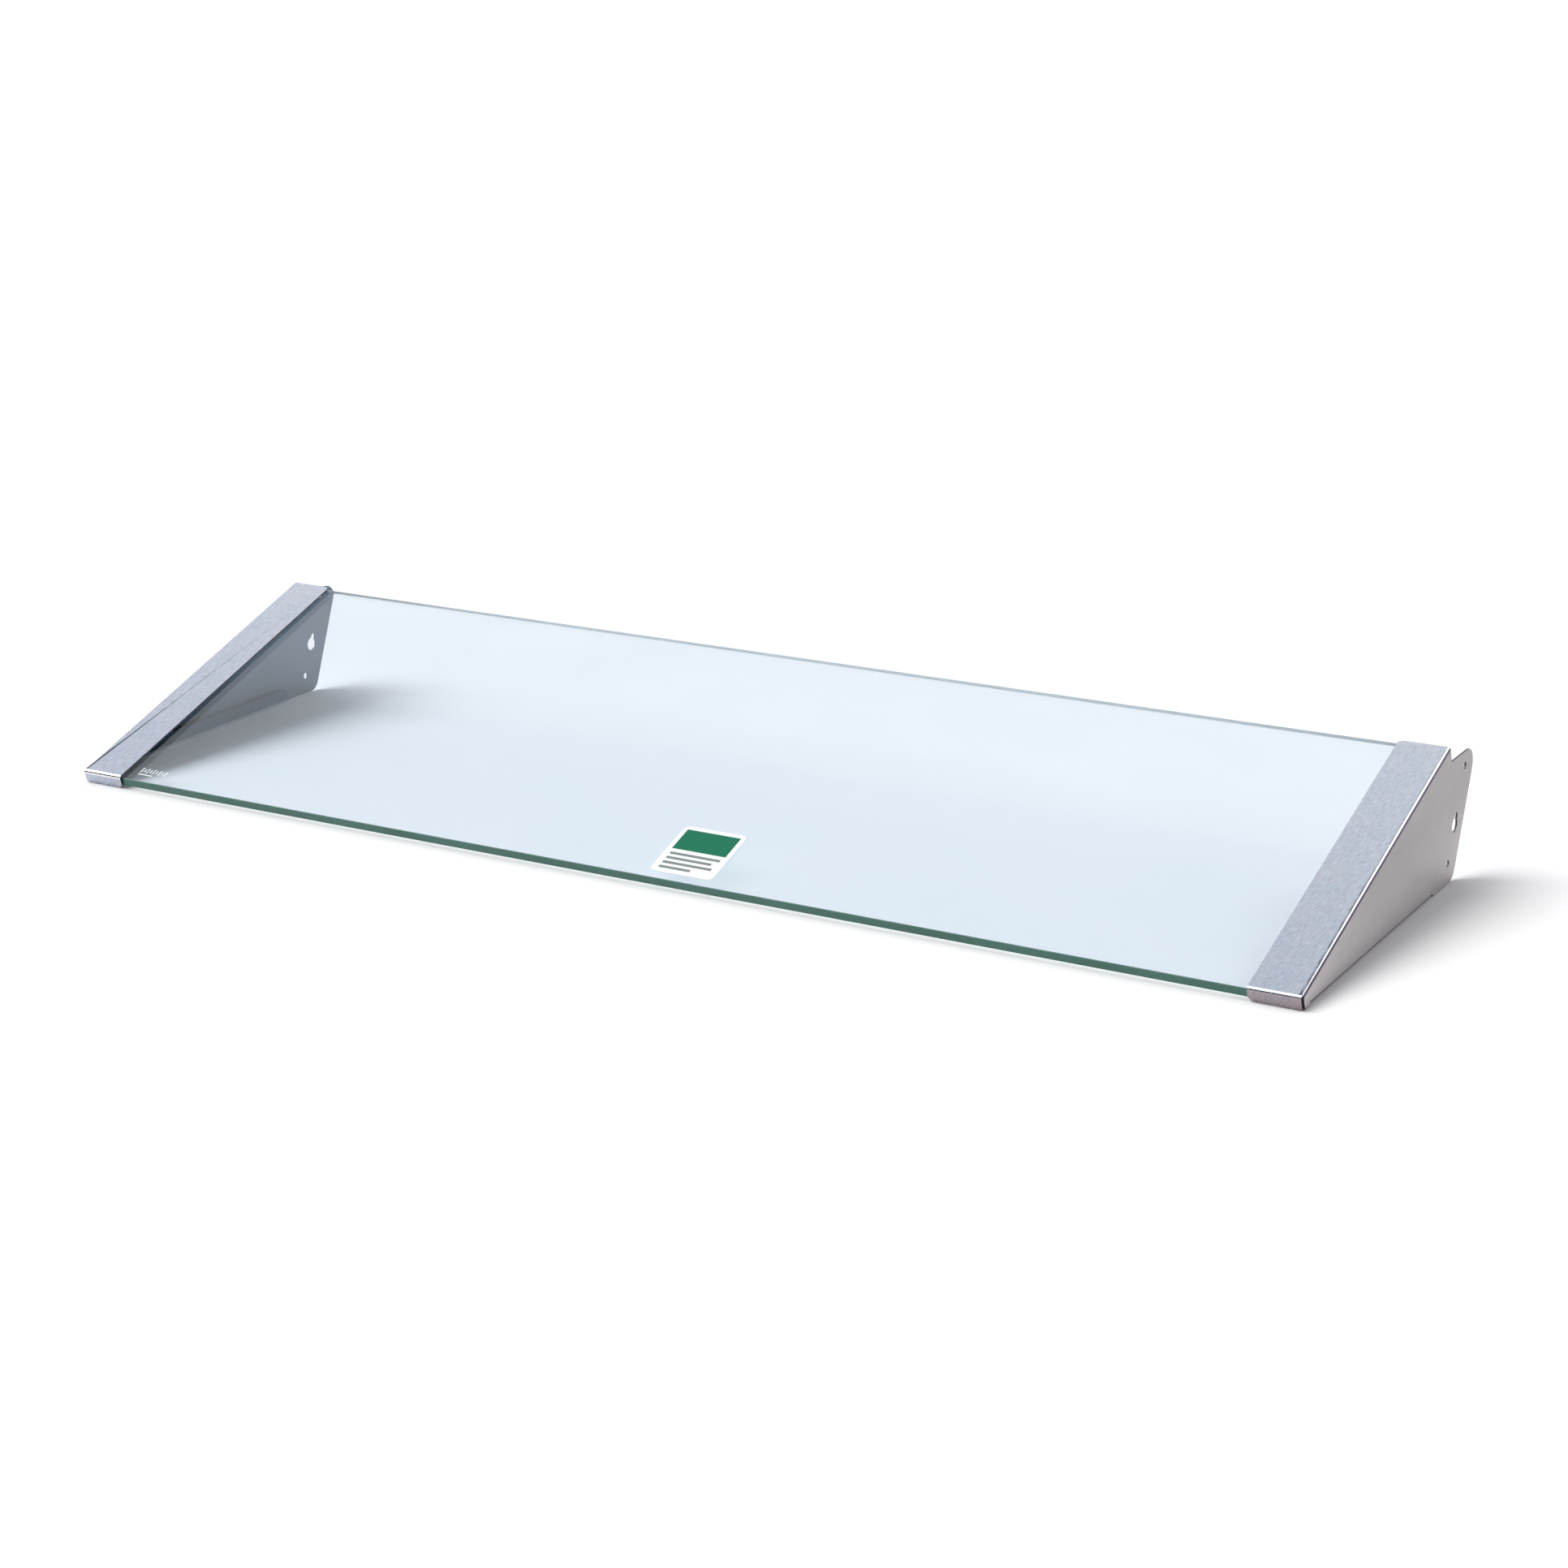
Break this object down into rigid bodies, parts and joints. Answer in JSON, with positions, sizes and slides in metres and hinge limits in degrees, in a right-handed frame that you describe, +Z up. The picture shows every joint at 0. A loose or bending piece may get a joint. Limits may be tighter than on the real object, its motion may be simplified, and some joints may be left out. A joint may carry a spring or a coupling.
{
  "type": "sloping glass shelf with end brackets",
  "caption": "Clear glass panel sloping between mirrored end brackets of folded sheet steel, with flanges and lips over the glass and keyholes near the rear edges.",
  "frame": {"origin": "middle of the bounding box at its bottom, on the surface that the brackets' bottom hems stand on", "axes": "+X along the shelf towards the right bracket, +Y from the low front edge towards the high rear edge, +Z up"},
  "size_m": [0.9, 0.286, 0.0917],
  "materials": {
    "glass": "clear toughened, polished edges",
    "steel": "brushed, grain across the flange",
    "tape": "matt double sided acrylic foam",
    "label": "printed vinyl"
  },
  "bodies": {
    "root": {"glass_panel": "glass", "right_bracket": "steel", "left_bracket": "steel", "right_bonding_tape": "tape", "left_bonding_tape": "tape", "label": "label"}
  },
  "joints": []
}
